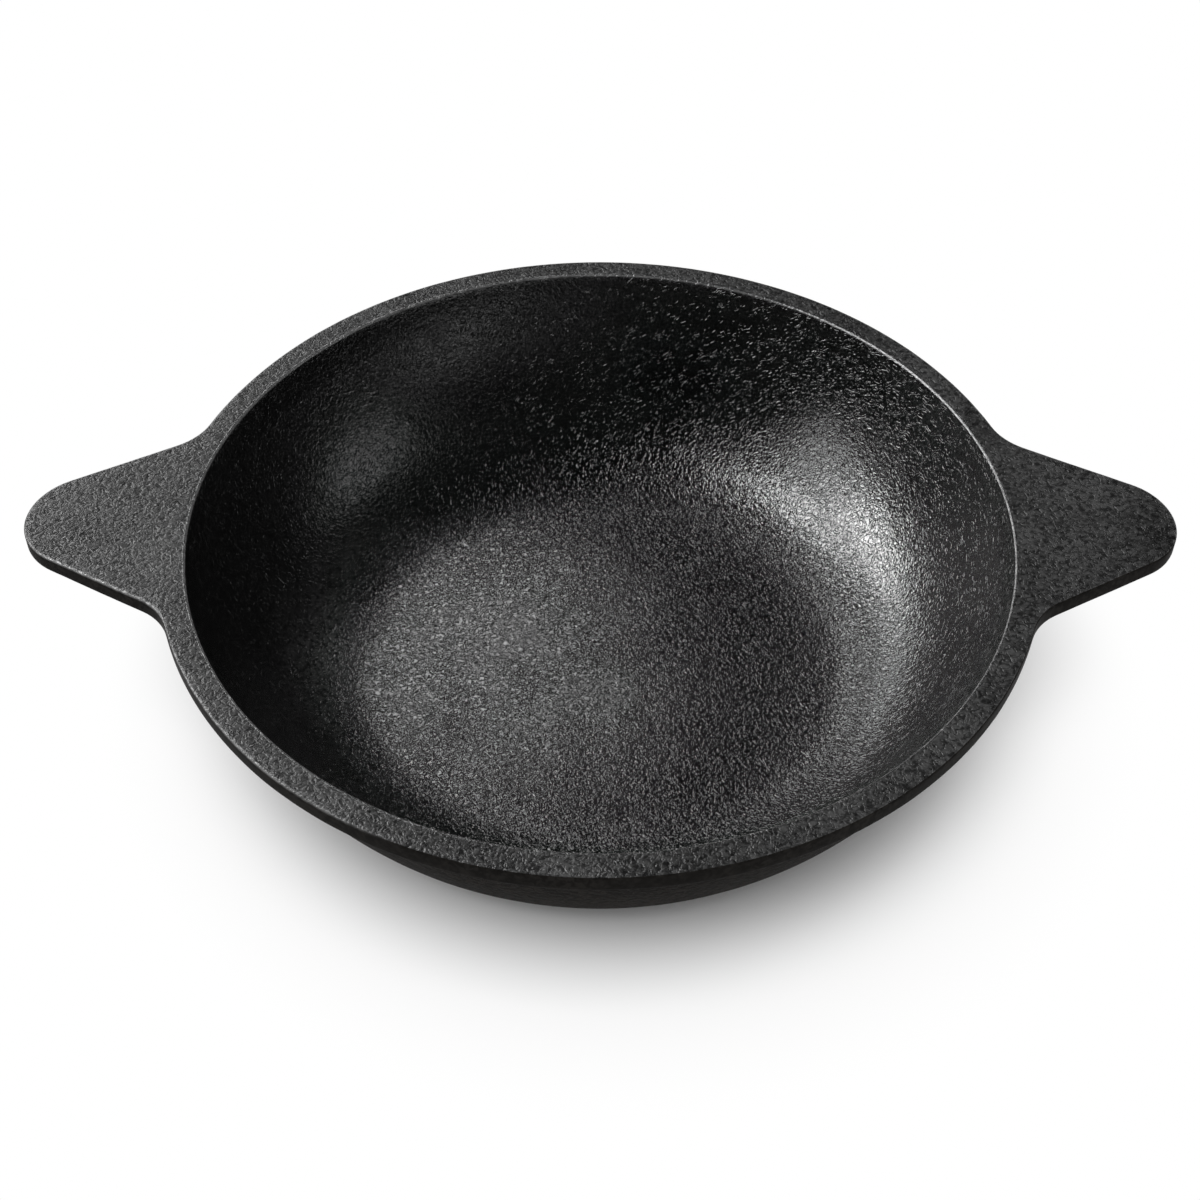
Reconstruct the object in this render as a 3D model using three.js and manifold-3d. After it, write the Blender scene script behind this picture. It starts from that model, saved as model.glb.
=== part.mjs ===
// Cast iron bowl pan with two flat handles, in millimetres, +Z up.
// The origin is the middle of the base, on the surface that the pan stands on. The handles lie along X.
// The real pan is one casting: floor, wall, rim and handles are solids that meet face to face on flat seams.
import * as THREE from "three";
import { mergeVertices } from "three/addons/utils/BufferGeometryUtils.js";
import Module from "manifold-3d";

const wasm = await Module();
wasm.setup();

// Driving dimensions of the rim
const RIM_DIAMETER = 254;         // across the outside of the flat rim
const RIM_WIDTH = 8;              // of the flat band round the mouth
const RIM_THICKNESS = 5.8;        // of the rim and of both handles
const OUTER_EDGE_RADIUS = 1;      // of the rolled edges round the rim and the handles
const MOUTH_EDGE_RADIUS = 1;      // of the rolled edge round the mouth
const UNDER_RIM_RADIUS = 3;       // of the fillet between the wall and the underside of the rim

// Driving dimensions of the bowl
const PAN_HEIGHT = 66;            // from the base to the top of the rim
const WALL_THICKNESS = 4;
const FLOOR_THICKNESS = 5;
const WALL_ARC_RADIUS = 106;      // of the inside of the wall, seen from the side
const MOUTH_LEAN = 10;            // degrees that the wall leans outwards where it meets the mouth
const FLOOR_CORNER_RADIUS = 40;   // of the inside corner between the wall and the floor

// Driving dimensions of the handles
const HANDLE_LENGTH = 40;         // that a handle stands out from the rim
const HANDLE_TIP_RADIUS = 19;
const HANDLE_TAPER = 29;          // degrees between a handle's side and its middle line
const HANDLE_ROOT_RADIUS = 18;    // of the hollow corner between a handle's side and the rim

// Places of the seams
const HANDLE_SEAM_OFFSET = 3;     // from the outside of the rim out to the seam of a handle
const RIM_SEAM_DROP = 3;          // from the fillet under the rim down to the seam of the wall
const FLOOR_SEAM_INSET = 8;       // from the edge of the flat floor in to the seam of the floor disc

// Facets
const TURN_FACETS = 96;           // round the bowl
const RIM_FACETS = 48;            // along the rim from one handle to the other
const TIP_FACETS = 16;            // round a handle's tip
const WALL_FACETS = 6;            // along the wall's arc, and along the floor's corner
const STRIP_FACETS = 2;           // along the strip of wall that stays with the rim
const FILLET_FACETS = 4;          // along small fillets
const EDGE_FACETS = 3;            // across a rolled edge
const SAME_POINT = 1e-6;          // points closer than this are one point

// Sizes that follow
const rimRadius = RIM_DIAMETER / 2;
const mouthRadius = rimRadius - RIM_WIDTH;
const rimUnderside = PAN_HEIGHT - RIM_THICKNESS;
const innerArc = WALL_ARC_RADIUS;
const outerArc = WALL_ARC_RADIUS + WALL_THICKNESS;
const innerCorner = FLOOR_CORNER_RADIUS;
const outerCorner = FLOOR_CORNER_RADIUS + WALL_THICKNESS;
const lean = THREE.MathUtils.degToRad(MOUTH_LEAN);
const handleSeam = rimRadius + HANDLE_SEAM_OFFSET;
const FULL_DOWN = -Math.PI / 2;

// Profiles are drawn with x as the distance from the pan's axis and y as the height.
const wallCentre = point(mouthRadius - innerArc * Math.cos(lean), PAN_HEIGHT + innerArc * Math.sin(lean));

function point(x, y) {
  return new THREE.Vector2(x, y);
}

// Points along an arc, with both of its ends.
function arc(centre, radius, from, to, facets) {
  const clockwise = from > to;
  return new THREE.EllipseCurve(centre.x, centre.y, radius, radius, from, to, clockwise).getPoints(facets);
}

// One line through all the stretches, with each shared end kept once.
function chain(...stretches) {
  const points = stretches.flat();
  return points.filter((here, i) => i === 0 || here.distanceTo(points[i - 1]) > SAME_POINT);
}

// Angle about the wall's centre at which an arc of the wall reaches a height.
function wallAngle(radius, height) {
  return Math.asin((height - wallCentre.y) / radius);
}

// Centre of a circle at a given height whose distance from the wall's centre is known.
function centreAt(height, distance) {
  const rise = wallCentre.y - height;
  return point(wallCentre.x + Math.sqrt(distance * distance - rise * rise), height);
}

function angleFromWallCentre(place) {
  return place.clone().sub(wallCentre).angle() - 2 * Math.PI;
}

// The corner of the floor touches the wall's arc from within, the two fillets at the rim from outside.
const innerCornerCentre = centreAt(FLOOR_THICKNESS + innerCorner, innerArc - innerCorner);
const outerCornerCentre = centreAt(outerCorner, outerArc - outerCorner);
const mouthEdgeCentre = centreAt(PAN_HEIGHT - MOUTH_EDGE_RADIUS, innerArc + MOUTH_EDGE_RADIUS);
const underRimCentre = centreAt(rimUnderside - UNDER_RIM_RADIUS, outerArc + UNDER_RIM_RADIUS);

const innerCornerAngle = angleFromWallCentre(innerCornerCentre);
const outerCornerAngle = angleFromWallCentre(outerCornerCentre);
const mouthEdgeAngle = angleFromWallCentre(mouthEdgeCentre);
const underRimAngle = angleFromWallCentre(underRimCentre);

const wallSeam = wallCentre.y + outerArc * Math.sin(underRimAngle) - RIM_SEAM_DROP;
const innerSeamAngle = wallAngle(innerArc, wallSeam);
const outerSeamAngle = wallAngle(outerArc, wallSeam);
const floorSeam = Math.min(innerCornerCentre.x, outerCornerCentre.x) - FLOOR_SEAM_INSET;

// Solid of revolution about Z, from a profile that is closed or that starts and ends on the axis.
function turned(profile) {
  const geometry = new THREE.LatheGeometry(profile, TURN_FACETS);
  return geometry.rotateX(Math.PI / 2);
}

// Closed body for joining and cutting, with shared corners merged and empty triangles left out.
function solid(geometry) {
  const bare = new THREE.BufferGeometry();
  bare.setAttribute("position", geometry.getAttribute("position"));
  bare.setIndex(geometry.getIndex());
  const merged = mergeVertices(bare);
  const corners = merged.getIndex().array;
  const triangles = [];
  for (let i = 0; i < corners.length; i += 3) {
    const [a, b, c] = corners.slice(i, i + 3);
    if (a !== b && b !== c && c !== a) triangles.push(a, b, c);
  }
  return new wasm.Manifold(new wasm.Mesh({
    numProp: 3,
    vertProperties: merged.getAttribute("position").array,
    triVerts: new Uint32Array(triangles),
  }));
}

const castIron = new THREE.MeshStandardMaterial({ color: 0x1b1b1c, roughness: 0.5, metalness: 0.35 });

function piece(name, body) {
  const { vertProperties, triVerts } = body.getMesh();
  const geometry = new THREE.BufferGeometry();
  geometry.setAttribute("position", new THREE.BufferAttribute(vertProperties, 3));
  geometry.setIndex(new THREE.BufferAttribute(triVerts, 1));
  geometry.computeVertexNormals();
  const mesh = new THREE.Mesh(geometry, castIron);
  mesh.name = name;
  return mesh;
}

// Flat disc in the middle of the floor.
function floorDisc() {
  return solid(turned([
    point(0, 0),
    point(floorSeam, 0),
    point(floorSeam, FLOOR_THICKNESS),
    point(0, FLOOR_THICKNESS),
  ]));
}

// Wall of the bowl, from the floor disc up to the seam under the rim.
function bowlWall() {
  const outside = chain(
    [point(floorSeam, 0)],
    arc(outerCornerCentre, outerCorner, FULL_DOWN, outerCornerAngle, WALL_FACETS),
    arc(wallCentre, outerArc, outerCornerAngle, outerSeamAngle, WALL_FACETS),
  );
  const inside = chain(
    arc(wallCentre, innerArc, innerSeamAngle, innerCornerAngle, WALL_FACETS),
    arc(innerCornerCentre, innerCorner, innerCornerAngle, FULL_DOWN, WALL_FACETS),
    [point(floorSeam, FLOOR_THICKNESS)],
  );
  return solid(turned([...outside, ...inside, outside[0]]));
}

// Space inside the rim: the top of the bowl, opened out by the rolled edge of the mouth.
function mouthSpace() {
  const below = innerCornerAngle;
  const above = PAN_HEIGHT + RIM_THICKNESS;
  const side = chain(
    arc(wallCentre, innerArc, below, innerSeamAngle, WALL_FACETS),
    arc(wallCentre, innerArc, innerSeamAngle, mouthEdgeAngle, STRIP_FACETS),
    arc(mouthEdgeCentre, MOUTH_EDGE_RADIUS, mouthEdgeAngle + Math.PI, Math.PI / 2, EDGE_FACETS),
  );
  return solid(turned([
    point(0, side[0].y),
    ...side,
    point(mouthEdgeCentre.x, above),
    point(0, above),
  ]));
}

// Top of the wall with the fillet that carries the rim.
function rimRoot() {
  const middle = rimUnderside + RIM_THICKNESS / 2;
  const outside = chain(
    arc(wallCentre, outerArc, outerSeamAngle, underRimAngle, STRIP_FACETS),
    arc(underRimCentre, UNDER_RIM_RADIUS, underRimAngle + Math.PI, Math.PI / 2, FILLET_FACETS),
  );
  return solid(turned([
    point(0, wallSeam),
    ...outside,
    point(underRimCentre.x, middle),
    point(0, middle),
  ]));
}

// Outline of the rim and both handles, seen from above.
function plateOutline() {
  const taper = THREE.MathUtils.degToRad(HANDLE_TAPER);
  const tipCentre = point(rimRadius + HANDLE_LENGTH - HANDLE_TIP_RADIUS, 0);
  const tipAngle = Math.PI / 2 - taper;
  const across = point(Math.cos(tipAngle), Math.sin(tipAngle));
  const along = point(across.y, -across.x);

  // The root circle touches the handle's side and the rim from outside.
  const aside = tipCentre.dot(across) + HANDLE_TIP_RADIUS + HANDLE_ROOT_RADIUS;
  const reach = rimRadius + HANDLE_ROOT_RADIUS;
  const forward = Math.sqrt(reach * reach - aside * aside);
  const rootCentre = across.clone().multiplyScalar(aside).addScaledVector(along, forward);
  const rootAngle = rootCentre.angle();
  const origin = point(0, 0);

  const half = chain(
    arc(tipCentre, HANDLE_TIP_RADIUS, -tipAngle, tipAngle, TIP_FACETS),
    arc(rootCentre, HANDLE_ROOT_RADIUS, tipAngle + Math.PI, rootAngle + Math.PI, FILLET_FACETS),
    arc(origin, rimRadius, rootAngle, Math.PI - rootAngle, RIM_FACETS),
    arc(point(-rootCentre.x, rootCentre.y), HANDLE_ROOT_RADIUS, -rootAngle, -tipAngle, FILLET_FACETS),
  );
  const otherHalf = half.map((here) => point(-here.x, -here.y));
  return new THREE.Shape([...half, ...otherHalf]);
}

// Flat plate of the rim and both handles, with its outer edges rolled over.
function rimPlate() {
  const geometry = new THREE.ExtrudeGeometry(plateOutline(), {
    depth: RIM_THICKNESS - 2 * OUTER_EDGE_RADIUS,
    bevelThickness: OUTER_EDGE_RADIUS,
    bevelSize: OUTER_EDGE_RADIUS,
    bevelOffset: -OUTER_EDGE_RADIUS,
    bevelSegments: EDGE_FACETS,
    steps: 1,
  });
  geometry.translate(0, 0, rimUnderside + OUTER_EDGE_RADIUS);
  return solid(geometry);
}

// Block of space beyond a handle's seam, on the +X side or the -X side.
function beyondSeam(side) {
  const length = HANDLE_LENGTH;
  const width = RIM_DIAMETER;
  const height = 2 * PAN_HEIGHT;
  const block = new THREE.BoxGeometry(length, width, height);
  block.translate(side * (handleSeam + length / 2), 0, PAN_HEIGHT);
  return solid(block);
}

const plate = rimPlate();
const rightSpace = beyondSeam(1);
const leftSpace = beyondSeam(-1);
const rim = plate.add(rimRoot()).subtract(mouthSpace()).subtract(rightSpace).subtract(leftSpace);

const pan = new THREE.Group();
pan.name = "bowl_pan";
pan.add(piece("floor_disc", floorDisc()));
pan.add(piece("bowl_wall", bowlWall()));
pan.add(piece("rim", rim));
pan.add(piece("left_handle", plate.intersect(leftSpace)));
pan.add(piece("right_handle", plate.intersect(rightSpace)));

export default pan;
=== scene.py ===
# Looks of the two-handled cast iron bowl pan, in metres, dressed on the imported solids.
import math

import bmesh
import bpy
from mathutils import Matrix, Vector, kdtree, noise
from mathutils.geometry import delaunay_2d_cdt

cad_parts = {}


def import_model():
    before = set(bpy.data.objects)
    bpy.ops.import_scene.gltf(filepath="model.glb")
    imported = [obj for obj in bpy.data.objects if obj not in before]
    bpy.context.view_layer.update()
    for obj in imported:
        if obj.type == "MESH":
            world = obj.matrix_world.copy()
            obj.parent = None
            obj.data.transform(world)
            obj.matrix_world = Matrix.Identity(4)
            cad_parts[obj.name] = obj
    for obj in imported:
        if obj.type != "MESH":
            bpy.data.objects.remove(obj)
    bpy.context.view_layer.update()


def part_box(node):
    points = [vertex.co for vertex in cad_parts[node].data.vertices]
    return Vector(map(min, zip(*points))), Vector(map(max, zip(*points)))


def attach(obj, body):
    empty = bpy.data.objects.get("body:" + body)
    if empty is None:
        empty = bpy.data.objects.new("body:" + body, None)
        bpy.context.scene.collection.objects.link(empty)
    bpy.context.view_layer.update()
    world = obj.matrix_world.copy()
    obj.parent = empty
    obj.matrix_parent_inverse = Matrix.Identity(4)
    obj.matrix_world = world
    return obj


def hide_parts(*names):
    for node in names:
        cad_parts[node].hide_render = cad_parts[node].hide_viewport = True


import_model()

# Sizes that the solids give
handle_low, handle_high = (Vector(corner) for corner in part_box("right_handle"))
rim_high = Vector(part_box("rim")[1])
wall_high = Vector(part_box("bowl_wall")[1])
disc_high = Vector(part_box("floor_disc")[1])
RIM_TOP = rim_high.z
RIM_RADIUS = rim_high.y
RIM_THICKNESS = handle_high.z - handle_low.z
RIM_UNDERSIDE = RIM_TOP - RIM_THICKNESS
HANDLE_REACH = handle_high.x
HANDLE_SEAM = handle_low.x
WALL_SEAM = wall_high.z
FLOOR_SEAM = disc_high.x
FLOOR_THICKNESS = disc_high.z

# Sizes that the solids' boxes don't show
MM = 0.001
RIM_WIDTH = 8 * MM
OUTER_EDGE_RADIUS = 1 * MM
MOUTH_EDGE_RADIUS = 1 * MM
UNDER_RIM_RADIUS = 3 * MM
WALL_THICKNESS = 4 * MM
WALL_ARC_RADIUS = 106 * MM
MOUTH_LEAN = math.radians(10)
FLOOR_CORNER_RADIUS = 40 * MM
HANDLE_TIP_RADIUS = 19 * MM
HANDLE_TAPER = math.radians(29)
HANDLE_ROOT_RADIUS = 18 * MM

# Fineness of the meshes
SECTORS = 480
ROW = 1.6 * MM
EDGE_STEPS = 4
SIDE_STEPS = 3
EASE_ROUNDS = 40
GRID = 2.0 * MM
GRID_ROW = GRID * math.sqrt(0.75)
SAME_PLACE = 1e-7
SAME_CORNER = 1e-9
WHOLE_HULL = 0

# Unevenness of the casting, always cut inwards from the true surface
SWELL_DEPTH, SWELL_SIZE = 0.16 * MM, 26 * MM
LUMP_DEPTH, LUMP_SIZE = 0.05 * MM, 6 * MM
LUMP_SHIFT = Vector((7, 3, 5))

# How far the rolled edges are worn down to bare metal: the mouth all round, the outer edge at the left
MOUTH_WEAR = 0.6
OUTER_WEAR = 1.0
OUTER_WEAR_FROM, OUTER_WEAR_FULL = -50 * MM, -95 * MM
WEAR_NARROWNESS = 3

# Kinds of surface, in the order of the material slots
INSIDE, TOP, SIDE, OUTSIDE = range(4)

# Pieces of the casting, by the names of the solids that they replace
PIECES = ["floor_disc", "bowl_wall", "rim", "left_handle", "right_handle"]

UP, DOWN = math.pi / 2, -math.pi / 2


# Profile of the bowl: x is the distance from the axis, y the height
def arc(centre, radius, start, end, steps):
    angles = [start + (end - start) * i / steps for i in range(steps + 1)]
    return [Vector((centre.x + radius * math.cos(a), centre.y + radius * math.sin(a))) for a in angles]


def arc_rows(centre, radius, start, end):
    return arc(centre, radius, start, end, max(1, round(abs(end - start) * radius / ROW)))


def line_rows(start, end):
    steps = max(1, round((end - start).length / ROW))
    return [start.lerp(end, i / steps) for i in range(steps + 1)]


def chain(*stretches):
    points = [point for stretch in stretches for point in stretch]
    return [p for i, p in enumerate(points) if i == 0 or (p - points[i - 1]).length > SAME_PLACE]


def eased(rows):
    """The same line with its bends eased into each other, and with its ends kept."""
    for i in range(EASE_ROUNDS):
        middle = [(a + b * 2 + c) / 4 for a, b, c in zip(rows, rows[1:], rows[2:])]
        rows = [rows[0], *middle, rows[-1]]
    return rows


inner_arc = WALL_ARC_RADIUS
outer_arc = WALL_ARC_RADIUS + WALL_THICKNESS
inner_corner = FLOOR_CORNER_RADIUS
outer_corner = FLOOR_CORNER_RADIUS + WALL_THICKNESS
wall_centre = Vector((
    RIM_RADIUS - RIM_WIDTH - inner_arc * math.cos(MOUTH_LEAN),
    RIM_TOP + inner_arc * math.sin(MOUTH_LEAN),
))


def centre_at(level, distance):
    """Place at a level and at a distance from the centre of the wall's arc, on its outer side."""
    rise = wall_centre.y - level
    return Vector((wall_centre.x + math.sqrt(distance ** 2 - rise ** 2), level))


def angle_to(place):
    return math.atan2(place.y - wall_centre.y, place.x - wall_centre.x)


inner_corner_centre = centre_at(FLOOR_THICKNESS + inner_corner, inner_arc - inner_corner)
outer_corner_centre = centre_at(outer_corner, outer_arc - outer_corner)
mouth_edge_centre = centre_at(RIM_TOP - MOUTH_EDGE_RADIUS, inner_arc + MOUTH_EDGE_RADIUS)
under_rim_centre = centre_at(RIM_UNDERSIDE - UNDER_RIM_RADIUS, outer_arc + UNDER_RIM_RADIUS)
inner_seam_angle = math.asin((WALL_SEAM - wall_centre.y) / inner_arc)
outer_seam_angle = math.asin((WALL_SEAM - wall_centre.y) / outer_arc)


def inside_wall_rows():
    corner_angle = angle_to(inner_corner_centre)
    return eased(chain(
        line_rows(Vector((FLOOR_SEAM, FLOOR_THICKNESS)), Vector((inner_corner_centre.x, FLOOR_THICKNESS))),
        arc_rows(inner_corner_centre, inner_corner, DOWN, corner_angle),
        arc_rows(wall_centre, inner_arc, corner_angle, inner_seam_angle),
    ))


def inside_rim_rows():
    edge_angle = angle_to(mouth_edge_centre)
    return chain(
        arc_rows(wall_centre, inner_arc, inner_seam_angle, edge_angle),
        arc(mouth_edge_centre, MOUTH_EDGE_RADIUS, edge_angle + math.pi, UP, EDGE_STEPS),
    )


def outside_wall_rows():
    corner_angle = angle_to(outer_corner_centre)
    return chain(
        line_rows(Vector((FLOOR_SEAM, 0)), Vector((outer_corner_centre.x, 0))),
        arc_rows(outer_corner_centre, outer_corner, DOWN, corner_angle),
        arc_rows(wall_centre, outer_arc, corner_angle, outer_seam_angle),
    )


def outside_rim_rows():
    fillet_angle = angle_to(under_rim_centre)
    return chain(
        arc_rows(wall_centre, outer_arc, outer_seam_angle, fillet_angle),
        arc(under_rim_centre, UNDER_RIM_RADIUS, fillet_angle + math.pi, UP, EDGE_STEPS),
    )


def outline_stations(step):
    """Outline of the rim and both handles from above, as places with their outward normals."""
    tip_angle = math.pi / 2 - HANDLE_TAPER
    across = Vector((math.cos(tip_angle), math.sin(tip_angle)))
    along = Vector((across.y, -across.x))
    tip_centre = Vector((HANDLE_REACH - HANDLE_TIP_RADIUS, 0))
    aside = tip_centre.dot(across) + HANDLE_TIP_RADIUS + HANDLE_ROOT_RADIUS
    forward = math.sqrt((RIM_RADIUS + HANDLE_ROOT_RADIUS) ** 2 - aside ** 2)
    root_centre = across * aside + along * forward
    root_angle = math.atan2(root_centre.y, root_centre.x)

    def bend(centre, radius, start, end, sign):
        steps = max(2, round(abs(end - start) * radius / step))
        places = arc(centre, radius, start, end, steps)
        return [(place, (place - centre).normalized() * sign) for place in places[:-1]]

    def side(start, end, normal):
        steps = max(1, round((end - start).length / step))
        return [(start.lerp(end, i / steps), normal) for i in range(steps)]

    tip_end = tip_centre + across * HANDLE_TIP_RADIUS
    root_start = root_centre - across * HANDLE_ROOT_RADIUS
    mirror = Vector((-1, 1))
    half = bend(tip_centre, HANDLE_TIP_RADIUS, -tip_angle, tip_angle, 1)
    half += side(tip_end, root_start, across)
    half += bend(root_centre, HANDLE_ROOT_RADIUS, tip_angle + math.pi, root_angle + math.pi, -1)
    half += bend(Vector((0, 0)), RIM_RADIUS, root_angle, math.pi - root_angle, 1)
    half += bend(root_centre * mirror, HANDLE_ROOT_RADIUS, -root_angle, -tip_angle, -1)
    half += side(root_start * mirror, tip_end * mirror, across * mirror)
    return half + [(-place, -normal) for place, normal in half]


class Skin:
    """Skin of the whole casting, as shared corners and faces that know their piece and kind of surface."""

    def __init__(self):
        self.places = []
        self.wear = []
        self.faces = []

    def ring(self, places, wear=None):
        first = len(self.places)
        self.places += [Vector(place) for place in places]
        self.wear += wear or [0.0] * len(places)
        return list(range(first, first + len(places)))

    def band(self, lower, upper, piece, kind):
        count = len(lower)
        for i in range(count):
            j = (i + 1) % count
            self.faces.append(((lower[i], lower[j], upper[j], upper[i]), piece, kind))

    def sheet(self, loops, inner_points, level, piece, kind):
        """Flat triangles inside the first loop of corners and outside the second, if there is one."""
        corners = [index for loop in loops for index in loop]
        named = corners + self.ring([(p.x, p.y, level) for p in inner_points])
        flat = [self.places[index].xy for index in named]
        outlines = []
        for loop in loops:
            first = sum(len(outline) for outline in outlines)
            outlines.append(list(range(first, first + len(loop))))
        found = delaunay_2d_cdt(flat, [], outlines, WHOLE_HULL, SAME_CORNER)
        triangles, sources, within = found[2], found[3], found[5]
        for triangle, outlines_round_it in zip(triangles, within):
            if outlines_round_it == [0]:
                self.faces.append((tuple(named[sources[i][0]] for i in triangle), piece, kind))

    def lathe(self, rows, piece, kind, ring, wear=None):
        """Turned surface along rows of the profile, from the ring of the first row. Returns the last ring."""
        for i, row in enumerate(rows[1:], 1):
            following = self.ring(circle(row.x, row.y), [wear[i]] * SECTORS if wear else None)
            self.band(ring, following, piece, kind)
            ring = following
        return ring


def circle(radius, level):
    turns = [2 * math.pi * i / SECTORS for i in range(SECTORS)]
    return [(radius * math.cos(a), radius * math.sin(a), level) for a in turns]


def grid_points(reach_x, reach_y):
    """Points of a triangular grid over a rectangle round the axis."""
    columns = math.ceil(reach_x / GRID)
    rows = math.ceil(reach_y / GRID_ROW)
    for row in range(-rows, rows + 1):
        for column in range(-columns, columns + 1):
            yield Vector(((column + 0.5 * (row % 2)) * GRID, row * GRID_ROW))


def mouth_wear(rows):
    """Wear of each row up to the mouth. The last steps are its rolled edge, worn most in the middle."""
    plain = len(rows) - 1 - EDGE_STEPS
    turns = [math.pi * max(0, i - plain) / EDGE_STEPS for i in range(len(rows))]
    return [MOUTH_WEAR * math.sin(turn) ** WEAR_NARROWNESS for turn in turns]


def add_bowl(skin):
    """Inside and outside of the bowl, from the middle up. Returns the rings where they meet the plate."""
    disc_points = [p for p in grid_points(FLOOR_SEAM, FLOOR_SEAM) if p.length < FLOOR_SEAM - GRID / 2]
    last_rings = []
    for wall_rows, rim_rows, kind, level in (
        (inside_wall_rows(), inside_rim_rows(), INSIDE, FLOOR_THICKNESS),
        (outside_wall_rows(), outside_rim_rows(), OUTSIDE, 0.0),
    ):
        disc_edge = skin.ring(circle(FLOOR_SEAM, level))
        skin.sheet([disc_edge], disc_points, level, "floor_disc", kind)
        seam = skin.lathe(wall_rows, "bowl_wall", kind, disc_edge)
        wear = mouth_wear(rim_rows) if kind == INSIDE else None
        last_rings.append(skin.lathe(rim_rows, "rim", kind, seam, wear))
    return last_rings


def handled(place, normal):
    """Share of wear on the near edge at the left, by which the pan is taken up."""
    leftness = (place.x - OUTER_WEAR_FROM) / (OUTER_WEAR_FULL - OUTER_WEAR_FROM)
    return min(1, max(0, leftness)) * max(0, -normal.y)


def edge_profile():
    """Inset, level and wear of each ring round the plate, from its top over its side to its underside."""
    edge = OUTER_EDGE_RADIUS
    upper = []
    for i in range(EDGE_STEPS + 1):
        turn = math.pi / 2 * i / EDGE_STEPS
        wear = OUTER_WEAR * math.sin(2 * turn) ** WEAR_NARROWNESS
        upper.append((edge * (1 - math.sin(turn)), RIM_TOP - edge * (1 - math.cos(turn)), wear))
    lower = [(inset, RIM_TOP + RIM_UNDERSIDE - level, 0.0) for inset, level, wear in reversed(upper)]
    drop = (lower[0][1] - upper[-1][1]) / SIDE_STEPS
    middle = [(0.0, upper[-1][1] + drop * i, 0.0) for i in range(1, SIDE_STEPS)]
    return upper + middle + lower


def add_plate(skin, mouth, root):
    """Plate of the rim and both handles, round the rings at the mouth and under the rim."""
    stations = outline_stations(ROW)
    tree = kdtree.KDTree(len(stations))
    for i, (place, normal) in enumerate(stations):
        tree.insert(place.to_3d(), i)
    tree.balance()

    def depth(point):
        """How far a point lies inside the outline."""
        place, normal = stations[tree.find(point.to_3d())[1]]
        return (place - point).dot(normal)

    rings = []
    for inset, level, wear in edge_profile():
        corners = [(*(place - normal * inset), level) for place, normal in stations]
        rings.append(skin.ring(corners, [wear * handled(place, normal) for place, normal in stations]))
    for i, (above, below) in enumerate(zip(rings, rings[1:])):
        skin.band(above, below, "rim", TOP if i < EDGE_STEPS // 2 else SIDE)

    margin = OUTER_EDGE_RADIUS + GRID / 2
    for hole, outer, level, kind in (
        (mouth, rings[0], RIM_TOP, TOP),
        (root, rings[-1], RIM_UNDERSIDE, OUTSIDE),
    ):
        nearest = skin.places[hole[0]].xy.length + GRID / 2
        grid = grid_points(HANDLE_REACH, RIM_RADIUS)
        points = [p for p in grid if p.length > nearest and depth(p) > margin]
        skin.sheet([outer, hole], points, level, "rim", kind)


def build_skin():
    skin = Skin()
    mouth, root = add_bowl(skin)
    add_plate(skin, mouth, root)
    return skin


def cast_unevenness(place):
    """Depth of the casting's unevenness below the true surface at a place."""
    swell = noise.noise(place / SWELL_SIZE)
    lump = noise.noise(place / LUMP_SIZE + LUMP_SHIFT)
    return SWELL_DEPTH * (0.5 - 0.5 * swell) + LUMP_DEPTH * (0.5 - 0.5 * lump)


def skin_mesh(skin):
    """The skin as one mesh, cut on the handles' seams and made uneven."""
    mesh = bmesh.new()
    wear_layer = mesh.verts.layers.float.new("wear")
    piece_layer = mesh.faces.layers.int.new("piece")
    corners = [mesh.verts.new(place) for place in skin.places]
    for corner, wear in zip(corners, skin.wear):
        corner[wear_layer] = wear
    for indices, piece, kind in skin.faces:
        face = mesh.faces.new([corners[i] for i in indices])
        face.material_index = kind
        face.smooth = True
        face[piece_layer] = PIECES.index(piece)
    bmesh.ops.recalc_face_normals(mesh, faces=mesh.faces)
    for side, handle in ((-1, "left_handle"), (1, "right_handle")):
        seam, way = (side * HANDLE_SEAM, 0, 0), (side, 0, 0)
        everything = mesh.verts[:] + mesh.edges[:] + mesh.faces[:]
        bmesh.ops.bisect_plane(mesh, geom=everything, plane_co=seam, plane_no=way, dist=SAME_PLACE)
        for face in mesh.faces:
            if face.calc_center_median().x * side > HANDLE_SEAM:
                face[piece_layer] = PIECES.index(handle)
    mesh.normal_update()
    moves = [(corner, -corner.normal * cast_unevenness(corner.co)) for corner in mesh.verts]
    for corner, move in moves:
        corner.co += move
    mesh.normal_update()
    return mesh, piece_layer, wear_layer


def joined_loops(edges):
    """The edges, grouped by which of them hang together."""
    loops = []
    waiting = set(edges)
    while waiting:
        loop = [waiting.pop()]
        for edge in loop:
            for corner in edge.verts:
                for near in corner.link_edges:
                    if near in waiting:
                        waiting.remove(near)
                        loop.append(near)
        loops.append(loop)
    return loops


def close_seams(mesh):
    """Flat faces over the open seams, which neighbouring pieces cover."""
    open_edges = [edge for edge in mesh.edges if edge.is_boundary]
    rings = []
    for loop in joined_loops(open_edges):
        if len(loop) == SECTORS:
            rings.append(loop)
        else:
            bmesh.ops.triangle_fill(mesh, use_beauty=True, edges=loop)

    # The two rings that bound one seam follow each other when sorted by radius.
    rings.sort(key=lambda loop: loop[0].verts[0].co.xy.length)
    for one, other in zip(rings[::2], rings[1::2]):
        bmesh.ops.bridge_loops(mesh, edges=one + other)
    for edge in open_edges:
        edge.smooth = False


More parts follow.
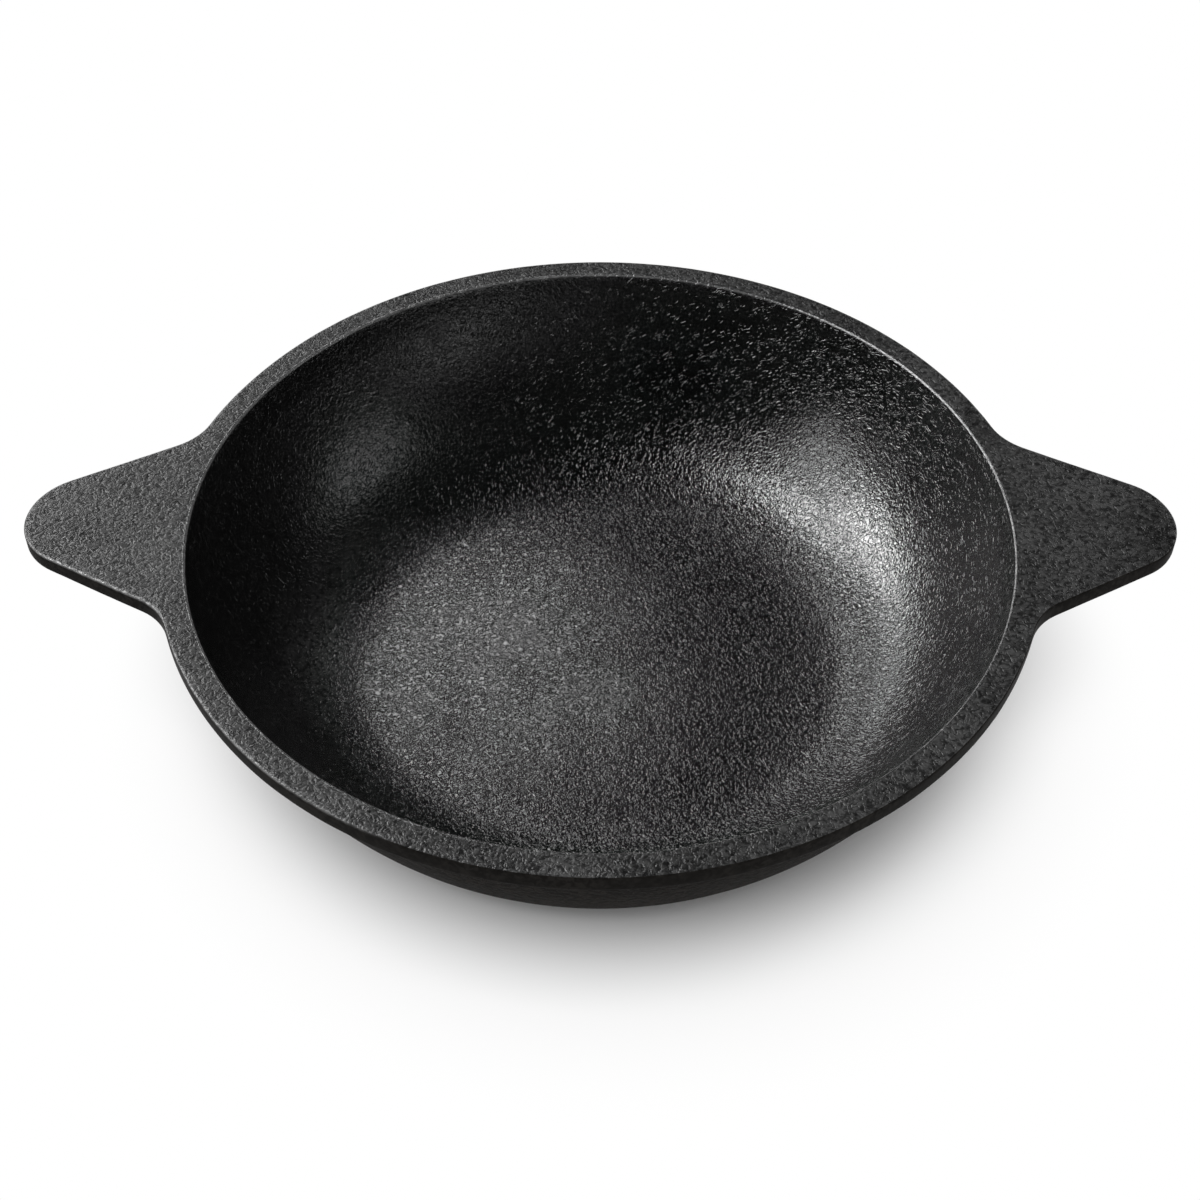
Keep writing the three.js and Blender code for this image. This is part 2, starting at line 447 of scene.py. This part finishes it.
def piece_mesh(faces, wear_layer):
    """Closed mesh of its own for some faces of the skin."""
    mesh = bmesh.new()
    wear = mesh.verts.layers.float.new("wear")
    copies = {}
    for face in faces:
        for corner in face.verts:
            if corner not in copies:
                copies[corner] = mesh.verts.new(corner.co)
                copies[corner][wear] = corner[wear_layer]
        copy = mesh.faces.new([copies[corner] for corner in face.verts])
        copy.material_index = face.material_index
        copy.smooth = True
    close_seams(mesh)
    bmesh.ops.recalc_face_normals(mesh, faces=mesh.faces)
    return mesh


def make_pieces(materials):
    whole, piece_layer, wear_layer = skin_mesh(build_skin())
    for number, name in enumerate(PIECES):
        mesh = piece_mesh([face for face in whole.faces if face[piece_layer] == number], wear_layer)
        data = bpy.data.meshes.new("pan_" + name)
        mesh.to_mesh(data)
        mesh.free()
        for material in materials:
            data.materials.append(material)
        piece = bpy.data.objects.new("pan_" + name, data)
        bpy.context.scene.collection.objects.link(piece)
        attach(piece, "root")
        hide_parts(name)
    whole.free()


# Numbers of the Mix node's sockets for colours
MIX_SHARE, MIX_ONE, MIX_OTHER, MIX_COLOUR = 0, 6, 7, 2


class Nodes:
    """Short forms for wiring a node tree. A value is a number, a colour or the output of another node."""

    def __init__(self, tree):
        self.tree = tree

    def feed(self, socket, value):
        if isinstance(value, bpy.types.NodeSocket):
            self.tree.links.new(value, socket)
        else:
            socket.default_value = value

    def new(self, kind, sockets=None, **settings):
        node = self.tree.nodes.new(kind)
        for name, value in settings.items():
            setattr(node, name, value)
        for name, value in (sockets or {}).items():
            self.feed(node.inputs[name], value)
        return node

    def math(self, operation, *values):
        return self.new("ShaderNodeMath", dict(enumerate(values)), operation=operation).outputs[0]

    def spread(self, value, span, result, way="LINEAR"):
        """The value moved from one span of numbers to another, and held at its ends."""
        sockets = {"Value": value}
        sockets["From Min"], sockets["From Max"] = span
        sockets["To Min"], sockets["To Max"] = result
        return self.new("ShaderNodeMapRange", sockets, interpolation_type=way, clamp=True).outputs["Result"]

    def noise(self, place, size, detail, roughness, distortion=0.0):
        sockets = {
            "Vector": place, "Scale": 1 / size, "Detail": detail,
            "Roughness": roughness, "Distortion": distortion,
        }
        return self.new("ShaderNodeTexNoise", sockets).outputs["Fac"]

    def mixed(self, share, one, other):
        """Colour that goes from one to the other as the share goes from 0 to 1."""
        sockets = {MIX_SHARE: share, MIX_ONE: one, MIX_OTHER: other}
        return self.new("ShaderNodeMix", sockets, data_type="RGBA").outputs[MIX_COLOUR]


ZERO_TO_ONE = (0.0, 1.0)


def grey(value):
    return (value, value, value, 1)


# Relief of the casting's skin: sizes in metres, depths in millimetres, spans in the noise's own values
PEEL_SPAN = (0.30, 0.68)
CREASE_FIELD, CREASE_LEVELS, CREASE_SHARE = 4.0 * MM, 8, 0.18
CREASE_BREAK, BREAK_SPAN = 2.0 * MM, (0.34, 0.52)
GRAIN = 0.5 * MM
PEBBLE, PEBBLE_DEPTH = 3.5 * MM, 0.03
FLOOR_RELIEF, WALL_RELIEF = 1.95, 0.7
RELIEF_LEVELS = (FLOOR_THICKNESS, FLOOR_THICKNESS + 26 * MM)


def peel_islands(nodes, place, size):
    """Small rounded islands, like orange peel, from 0 between them to 1 on their tops."""
    field = nodes.noise(place, size, detail=1.0, roughness=0.5, distortion=0.8)
    return nodes.spread(field, PEEL_SPAN, ZERO_TO_ONE, "SMOOTHSTEP")


def crease_lines(nodes, place):
    """Creases along the contour lines of a soft noise, broken up by a finer one: 1 in their middle."""
    field = nodes.noise(place, CREASE_FIELD, detail=1.0, roughness=0.5, distortion=0.6)
    off_line = nodes.math("PINGPONG", nodes.math("MULTIPLY", field, CREASE_LEVELS), 0.5)
    groove = nodes.spread(off_line, (0.0, CREASE_SHARE), (1.0, 0.0), "SMOOTHSTEP")
    finer = nodes.noise(place, CREASE_BREAK, detail=1.0, roughness=0.5)
    return nodes.math("MULTIPLY", groove, nodes.spread(finer, BREAK_SPAN, ZERO_TO_ONE))


def skin_height(nodes, place, peel, creases, grain_depth, streak):
    """Height of the skin in millimetres. Its relief is strongest on the floor and fades up the wall."""
    drawn = nodes.new("ShaderNodeVectorMath", {0: place, 1: (1, 1, streak)}, operation="MULTIPLY")
    grains = nodes.noise(drawn.outputs[0], GRAIN, detail=2.0, roughness=0.55)
    grain = nodes.math("MULTIPLY", grains, grain_depth)
    pebbles = nodes.math("MULTIPLY", nodes.noise(place, PEBBLE, detail=1.0, roughness=0.5), PEBBLE_DEPTH)
    relief = nodes.math("ADD", peel, nodes.math("ADD", grain, pebbles))
    level = nodes.new("ShaderNodeSeparateXYZ", {"Vector": place}).outputs["Z"]
    strength = nodes.spread(level, RELIEF_LEVELS, (FLOOR_RELIEF, WALL_RELIEF))
    return nodes.math("SUBTRACT", nodes.math("MULTIPLY", relief, strength), creases)


# Seasoning: patches and specks of it, painted shade in the relief's hollows and creases with painted light on
# the islands' tops, and a grey patch on the floor that is a painted highlight
PATCH, PATCH_SPAN = 30 * MM, (0.35, 0.65)
SPECK, SPECK_SPAN = 2 * MM, (0.35, 0.6)
TONE_SPAN = (0.7, 1.3)
# Painted shade and light: the colour is darkened between the peel's islands and in the creases, and lightened
# on the islands' tops
PAINTED_SHADE_ON_ISLANDS = (0.2, 1.6)
PAINTED_SHADE_IN_CREASES = (1.0, 0.2)
# A painted highlight: a grey patch on the floor left of its middle, strongest on the islands' tops
PAINTED_HIGHLIGHT_MIDDLE = (-31 * MM, -3 * MM, FLOOR_THICKNESS)
PAINTED_HIGHLIGHT_REACH = (10 * MM, 80 * MM)
PAINTED_HIGHLIGHT_BY_PATCH = (0.55, 1.35)
PAINTED_HIGHLIGHT_BY_ISLAND = (0.2, 1.8)
RUBBED_BY_SPECK = (0.4, 1.0)
PAINTED_HIGHLIGHT_GREY = grey(0.10)
BARE_IRON = grey(0.40)


def floor_painted_highlight(nodes, place, patches, islands, most):
    """Share of a painted highlight: grey painted round a place left of the floor's middle, mostly on the tops
    of the islands.
    """
    from_middle = nodes.new("ShaderNodeVectorMath", {0: place, 1: PAINTED_HIGHLIGHT_MIDDLE}, operation="DISTANCE")
    share = nodes.spread(from_middle.outputs["Value"], PAINTED_HIGHLIGHT_REACH, (most, 0.0), "SMOOTHSTEP")
    uneven = nodes.math("MULTIPLY", share, nodes.spread(patches, PATCH_SPAN, PAINTED_HIGHLIGHT_BY_PATCH))
    return nodes.math("MULTIPLY", uneven, nodes.spread(islands, ZERO_TO_ONE, PAINTED_HIGHLIGHT_BY_ISLAND))


def iron_material(
    name, dark, light, rough, ior, peel_size, peel_depth, crease_depth, grain_depth, painted_highlight=0.0, streak=1.0,
):
    """
    Seasoned cast iron, in tones between dark and light and in the range of roughness given. The argument
    after grain_depth sets a grey patch painted on the floor as a highlight, and a streak under 1 draws the
    grain out upwards into grinding marks.
    """
    material = bpy.data.materials.new(name)
    material.use_nodes = True
    nodes = Nodes(material.node_tree)
    shader = material.node_tree.nodes["Principled BSDF"]
    place = nodes.new("ShaderNodeTexCoord").outputs["Object"]
    edge_wear = nodes.new("ShaderNodeAttribute", attribute_name="wear").outputs["Fac"]

    islands = peel_islands(nodes, place, peel_size)
    cracks = crease_lines(nodes, place)
    peel = nodes.math("MULTIPLY", islands, peel_depth)
    creases = nodes.math("MULTIPLY", cracks, crease_depth)
    height = skin_height(nodes, place, peel, creases, grain_depth, streak)
    bump = nodes.new("ShaderNodeBump", {"Height": height, "Distance": MM, "Strength": 1.0})

    patches = nodes.noise(place, PATCH, detail=4.0, roughness=0.6)
    specks = nodes.noise(place, SPECK, detail=3.0, roughness=0.6)
    tone = nodes.spread(nodes.math("ADD", patches, specks), TONE_SPAN, ZERO_TO_ONE)
    # Painted shade and light on the relief, laid over the random tone: darker between the islands and in the
    # creases, lighter on their tops
    tone_and_painted_shade = nodes.math("MULTIPLY", tone, nodes.spread(islands, ZERO_TO_ONE, PAINTED_SHADE_ON_ISLANDS))
    if crease_depth:
        tone_and_painted_shade = nodes.math("MULTIPLY", tone_and_painted_shade, nodes.spread(cracks, ZERO_TO_ONE, PAINTED_SHADE_IN_CREASES))
    colour = nodes.mixed(tone_and_painted_shade, dark, light)
    # Painted highlight: the grey patch on the floor
    if painted_highlight:
        colour = nodes.mixed(floor_painted_highlight(nodes, place, patches, islands, painted_highlight), colour, PAINTED_HIGHLIGHT_GREY)
    rubbed = nodes.math("MULTIPLY", edge_wear, nodes.spread(specks, SPECK_SPAN, RUBBED_BY_SPECK))

    nodes.feed(shader.inputs["Base Color"], nodes.mixed(rubbed, colour, BARE_IRON))
    nodes.feed(shader.inputs["Metallic"], rubbed)
    nodes.feed(shader.inputs["Roughness"], nodes.spread(tone, ZERO_TO_ONE, rough))
    nodes.feed(shader.inputs["IOR"], ior)
    nodes.feed(shader.inputs["Normal"], bump.outputs["Normal"])
    return material


def cast_iron_materials():
    # The inside's floor carries the painted highlight, a grey patch
    inside = iron_material(
        "seasoned_inside", dark=grey(0.0018), light=grey(0.0036), rough=(0.13, 0.21), ior=2.2,
        peel_size=1.2 * MM, peel_depth=0.072, crease_depth=0.10, grain_depth=0.004, painted_highlight=0.48,
    )
    top = iron_material(
        "cast_top", dark=grey(0.006), light=grey(0.062), rough=(0.24, 0.34), ior=1.55,
        peel_size=1.5 * MM, peel_depth=0.30, crease_depth=0.22, grain_depth=0.006,
    )
    side = iron_material(
        "ground_side", dark=(0.006, 0.0055, 0.0050, 1), light=(0.015, 0.0138, 0.0126, 1),
        rough=(0.42, 0.52), ior=1.06,
        peel_size=1.7 * MM, peel_depth=0.0, crease_depth=0.0, grain_depth=0.030, streak=0.05,
    )
    outside = iron_material(
        "cast_outside", dark=(0.006, 0.0054, 0.0048, 1), light=(0.021, 0.0186, 0.0165, 1),
        rough=(0.48, 0.58), ior=1.05,
        peel_size=1.9 * MM, peel_depth=0.20, crease_depth=0.10, grain_depth=0.020,
    )
    return [inside, top, side, outside]


# Stage: the pan's shadow shows on the floor near it, and further off the floor is plain white
WHITE = grey(1)
FLOOR_COLOUR = grey(0.94)
FLOOR_SIZE = 12
SHADOW_MIDDLE = (8 * MM, 6 * MM, 0)
SHADOW_FADE = (85 * MM, 165 * MM)


def ray_kinds(nodes):
    """1 for rays from the camera, else 0, and 1 for rays from gloss or through glass, else 0."""
    path = nodes.new("ShaderNodeLightPath")
    mirrored = nodes.math("MAXIMUM", path.outputs["Is Glossy Ray"], path.outputs["Is Transmission Ray"])
    return path.outputs["Is Camera Ray"], mirrored


def floor():
    bpy.ops.mesh.primitive_plane_add(size=FLOOR_SIZE, location=(0, 0, 0))
    plane = bpy.context.object
    plane.name = "floor"
    material = bpy.data.materials.new("floor_white")
    material.use_nodes = True
    material.node_tree.nodes.clear()
    nodes = Nodes(material.node_tree)
    place = nodes.new("ShaderNodeTexCoord").outputs["Object"]
    distance = nodes.new("ShaderNodeVectorMath", {0: place, 1: SHADOW_MIDDLE}, operation="DISTANCE")
    away = nodes.spread(distance.outputs["Value"], SHADOW_FADE, ZERO_TO_ONE, "SMOOTHSTEP")
    seen = nodes.math("MAXIMUM", *ray_kinds(nodes))
    lit = nodes.new("ShaderNodeBsdfDiffuse", {"Color": FLOOR_COLOUR})
    white = nodes.new("ShaderNodeEmission", {"Color": WHITE, "Strength": 1.0})
    parts = {0: nodes.math("MULTIPLY", away, seen), 1: lit.outputs[0], 2: white.outputs[0]}
    mix = nodes.new("ShaderNodeMixShader", parts)
    nodes.new("ShaderNodeOutputMaterial", {"Surface": mix.outputs[0]})
    plane.data.materials.append(material)


# Lamps: one soft lamp for matt surfaces, and panels that only show in the gloss
LAMP_TARGET = Vector((0, 0, 40 * MM))


def softbox(name, azimuth, elevation, distance, size, brightness, shine=True, soften=True):
    """
    Rectangular lamp seen from the pan at an azimuth left of straight back and an elevation, in degrees. A
    panel of brightness 1 looks white. It shows in the gloss of the iron, or lights matt surfaces, or both.
    """
    turn, rise = math.radians(azimuth), math.radians(elevation)
    way = Vector((-math.sin(turn) * math.cos(rise), math.cos(turn) * math.cos(rise), math.sin(rise)))
    data = bpy.data.lights.new(name, "AREA")
    data.shape = "RECTANGLE"
    data.size, data.size_y = size
    data.energy = brightness * math.pi * size[0] * size[1]
    lamp = bpy.data.objects.new(name, data)
    lamp.location = LAMP_TARGET + way * distance
    lamp.rotation_euler = way.to_track_quat("Z", "Y").to_euler()
    lamp.visible_camera = False
    lamp.visible_glossy = shine
    lamp.visible_diffuse = soften
    bpy.context.scene.collection.objects.link(lamp)


def panel(name, azimuth, elevation, distance, size, brightness):
    softbox(name, azimuth, elevation, distance, size, brightness, soften=False)


def lamps():
    softbox("front", azimuth=172, elevation=70, distance=3.0, size=(1.6, 1.6), brightness=8.6, shine=False)
    panel("key", azimuth=68, elevation=23, distance=1.19, size=(0.65, 0.45), brightness=5.8)
    panel("key_wide", azimuth=86, elevation=20, distance=1.2, size=(1.1, 0.8), brightness=1.9)
    panel("high_left", azimuth=80, elevation=52, distance=1.2, size=(0.7, 0.4), brightness=6.0)
    panel("mid_left", azimuth=34, elevation=44, distance=1.2, size=(0.5, 0.5), brightness=0.2)
    panel("back_left", azimuth=34, elevation=17, distance=1.2, size=(0.5, 0.4), brightness=4.1)
    panel("back", azimuth=12, elevation=43, distance=0.6, size=(0.14, 0.14), brightness=3.2)
    panel("right", azimuth=-98, elevation=16, distance=1.2, size=(0.55, 0.5), brightness=0.7)


# Brightness of the room for matt surfaces and for gloss, and the heights where its white backdrop ends
ROOM_LIGHT = 0.35
ROOM_SHINE = 0.007
HORIZON = (0.0, 0.06)


def world():
    """White backdrop up to the horizon, in a dim room."""
    studio = bpy.data.worlds.new("studio")
    bpy.context.scene.world = studio
    studio.use_nodes = True
    nodes = Nodes(studio.node_tree)
    direct, mirrored = ray_kinds(nodes)
    way = nodes.new("ShaderNodeTexCoord").outputs["Generated"]
    height = nodes.new("ShaderNodeSeparateXYZ", {"Vector": way}).outputs["Z"]
    shine = nodes.math("MULTIPLY", mirrored, nodes.spread(height, HORIZON, (1.0, ROOM_SHINE)))
    matt = nodes.math("MULTIPLY", nodes.math("SUBTRACT", 1.0, mirrored), ROOM_LIGHT)
    background = studio.node_tree.nodes["Background"]
    nodes.feed(background.inputs["Color"], WHITE)
    nodes.feed(background.inputs["Strength"], nodes.math("MAXIMUM", direct, nodes.math("ADD", shine, matt)))


# Camera, fitted to the photo: its place in front of the axis and above the rim, and how it is turned
CAMERA_LENS, CAMERA_SENSOR = 57, 36
CAMERA_FRONT, CAMERA_ABOVE = 401.1 * MM, 378.0 * MM
CAMERA_DIP, CAMERA_TURN = math.radians(45.72), math.radians(0.28)


def camera():
    data = bpy.data.cameras.new("camera")
    data.lens = CAMERA_LENS
    data.sensor_width = CAMERA_SENSOR
    eye = bpy.data.objects.new("camera", data)
    eye.location = (
        CAMERA_FRONT * math.sin(CAMERA_TURN),
        -CAMERA_FRONT * math.cos(CAMERA_TURN),
        RIM_TOP + CAMERA_ABOVE,
    )
    eye.rotation_euler = (math.pi / 2 - CAMERA_DIP, 0, CAMERA_TURN)
    bpy.context.scene.collection.objects.link(eye)
    bpy.context.scene.camera = eye


make_pieces(cast_iron_materials())
floor()
lamps()
world()
camera()
bpy.context.scene.view_settings.view_transform = "Standard"
